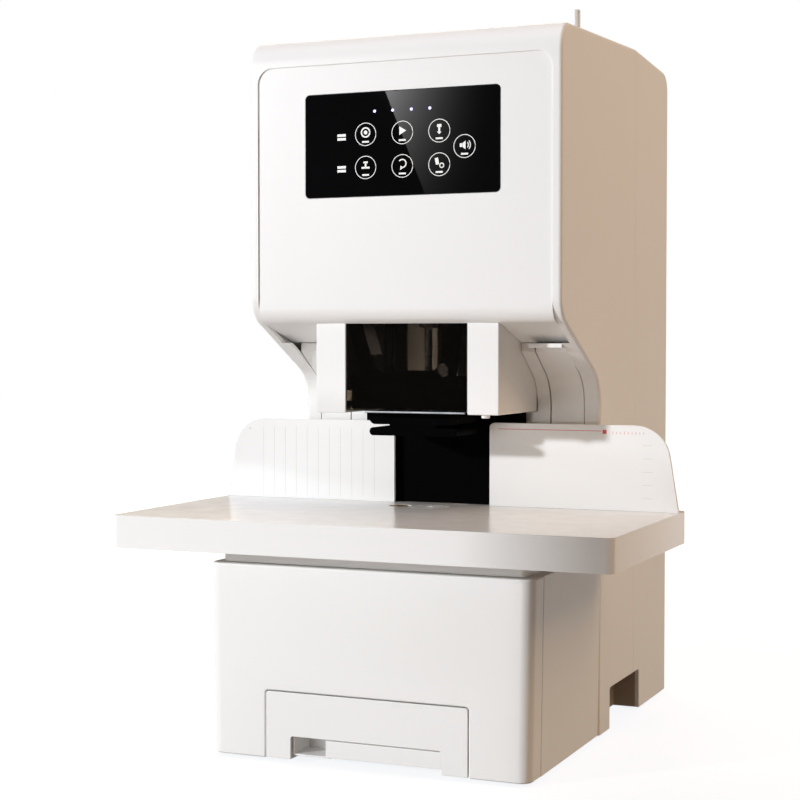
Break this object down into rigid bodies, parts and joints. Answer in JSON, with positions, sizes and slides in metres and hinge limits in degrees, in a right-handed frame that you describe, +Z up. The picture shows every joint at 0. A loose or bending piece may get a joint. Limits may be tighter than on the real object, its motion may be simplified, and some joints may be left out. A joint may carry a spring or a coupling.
{
  "type": "document riveting machine",
  "caption": "Desk machine that drills a paper stack and rivets it with a nylon tube: C-shaped body, worktable, gauge plates, presser foot, lifting drill head, touch panel and chip drawer.",
  "frame": {"origin": "middle of the machine's width and depth, on the surface it stands on", "axes": "+X to the operator's right, +Y away from the operator, +Z up; the worktable and control panel face -Y"},
  "size_m": [0.384, 0.395, 0.5665],
  "materials": {
    "white_shell": "satin moulded ABS, warm white",
    "white_table": "smooth glossy white moulding",
    "black_glass": "black back-printed touch panel, polished",
    "smoked_shield": "smoked clear acrylic, polished",
    "black_plastic": "fine matte black moulding",
    "cast_iron": "grey primed casting",
    "bright_steel": "ground steel",
    "dark_steel": "black-oxide tool steel",
    "zinc_sheet": "zinc-plated pressed sheet",
    "aluminium_plate": "machined aluminium",
    "brass": "machined brass",
    "circuit_board": "green solder mask",
    "rubber": "black rubber",
    "nylon": "milky translucent nylon"
  },
  "bodies": {
    "frame": {"body_surround": "white_shell", "rear_cover": "white_shell", "head_front_panel": "white_shell", "column_cover": "white_shell", "column_trim_left": "white_shell", "column_trim_right": "white_shell", "neck_housing": "white_shell", "base_shell": "white_shell", "base_front_cover": "white_shell", "tube_guide": "white_shell", "worktable": "white_table", "control_glass": "black_glass", "guard_frame": "black_plastic", "power_inlet": "black_plastic", "switch_body": "black_plastic", "fan_housing": "black_plastic", "c_frame": "cast_iron", "control_board": "circuit_board", "main_board": "circuit_board", "guide_rod_left": "bright_steel", "guide_rod_right": "bright_steel", "feed_motor": "bright_steel", "feed_bracket": "zinc_sheet", "base_pan": "zinc_sheet", "power_supply": "zinc_sheet", "lower_guide_plate": "aluminium_plate", "lift_motor": "aluminium_plate", "chip_chute": "aluminium_plate", "lower_die": "brass", "foot_front_left": "rubber", "foot_front_right": "rubber", "foot_rear_left": "rubber", "foot_rear_right": "rubber", "drill_pad": "nylon"},
    "drawer": {"drawer_bin": "white_shell", "drawer_front": "white_shell"},
    "gauge": {"gauge_plate_left": "white_shell", "gauge_plate_right": "white_shell", "gauge_bridge": "black_plastic"},
    "shield": {"safety_shield": "smoked_shield"},
    "presser": {"presser_foot": "black_plastic", "presser_rod_left": "dark_steel", "presser_rod_right": "dark_steel"},
    "carriage": {"carriage": "aluminium_plate", "drill_motor": "bright_steel", "rivet_punch": "dark_steel", "drive_belt": "rubber", "spindle_bearing": "bright_steel"},
    "drill_spindle": {"spindle": "bright_steel", "drill_bit": "bright_steel"},
    "motor_shaft": {"motor_pulley": "aluminium_plate"},
    "lift_screw": {"lead_screw": "bright_steel", "screw_gear": "brass"},
    "lift_pinion": {"motor_pinion": "bright_steel"},
    "tube": {"rivet_tube": "nylon"},
    "feed_wheel": {"feed_roller": "rubber"},
    "pinch_wheel": {"pinch_roller": "bright_steel"},
    "fan": {"fan_rotor": "black_plastic"},
    "rocker": {"switch_rocker": "black_plastic"}
  },
  "joints": [
    {"name": "drawer_slide", "type": "slide", "parent": "frame", "child": "drawer", "axis": [0, -1, 0], "range_m": [0, 0.13]},
    {"name": "gauge_slide", "type": "slide", "parent": "frame", "child": "gauge", "axis": [0, -1, 0], "range_m": [0, 0.015]},
    {"name": "shield_lift", "type": "slide", "parent": "frame", "child": "shield", "axis": [0, 0, 1], "range_m": [0, 0.06]},
    {"name": "presser_slide", "type": "slide", "parent": "frame", "child": "presser", "axis": [0, 0, -1], "range_m": [0, 0.055]},
    {"name": "carriage_slide", "type": "slide", "parent": "frame", "child": "carriage", "axis": [0, 0, -1], "range_m": [0, 0.059]},
    {"name": "spindle_spin", "type": "hinge", "parent": "carriage", "child": "drill_spindle", "pos_m": [0, -0.0455, 0.4], "axis": [0, 0, 1], "continuous": true},
    {"name": "motor_spin", "type": "hinge", "parent": "carriage", "child": "motor_shaft", "pos_m": [0.036, -0.0455, 0.38], "axis": [0, 0, 1], "continuous": true},
    {"name": "screw_turn", "type": "hinge", "parent": "frame", "child": "lift_screw", "pos_m": [0, 0.004, 0.5], "axis": [0, 0, 1], "range_deg": [0, 2200]},
    {"name": "pinion_turn", "type": "hinge", "parent": "frame", "child": "lift_pinion", "pos_m": [0, 0.068, 0.51], "axis": [0, 0, 1], "range_deg": [-6500, 0]},
    {"name": "tube_feed", "type": "slide", "parent": "frame", "child": "tube", "axis": [0, 0, -1], "range_m": [0, 0.06]},
    {"name": "feed_turn", "type": "hinge", "parent": "frame", "child": "feed_wheel", "pos_m": [0.0845, 0.0175, 0.462], "axis": [0, 1, 0], "range_deg": [0, 360]},
    {"name": "pinch_turn", "type": "hinge", "parent": "frame", "child": "pinch_wheel", "pos_m": [0.1085, 0.0175, 0.462], "axis": [0, 1, 0], "range_deg": [-520, 0]},
    {"name": "fan_spin", "type": "hinge", "parent": "frame", "child": "fan", "pos_m": [0, 0.185, 0.33], "axis": [0, 1, 0], "continuous": true},
    {"name": "switch_rock", "type": "hinge", "parent": "frame", "child": "rocker", "pos_m": [-0.028, 0.191, 0.072], "axis": [1, 0, 0], "range_deg": [0, 19]}
  ],
  "couplings": [
    {"joint": "motor_spin", "follows": "spindle_spin", "ratio": 1},
    {"joint": "screw_turn", "follows": "carriage_slide", "rad_per_m": 628.32},
    {"joint": "pinion_turn", "follows": "carriage_slide", "rad_per_m": -1885},
    {"joint": "feed_turn", "follows": "tube_feed", "rad_per_m": 103.09},
    {"joint": "pinch_turn", "follows": "tube_feed", "rad_per_m": -149.25}
  ]
}
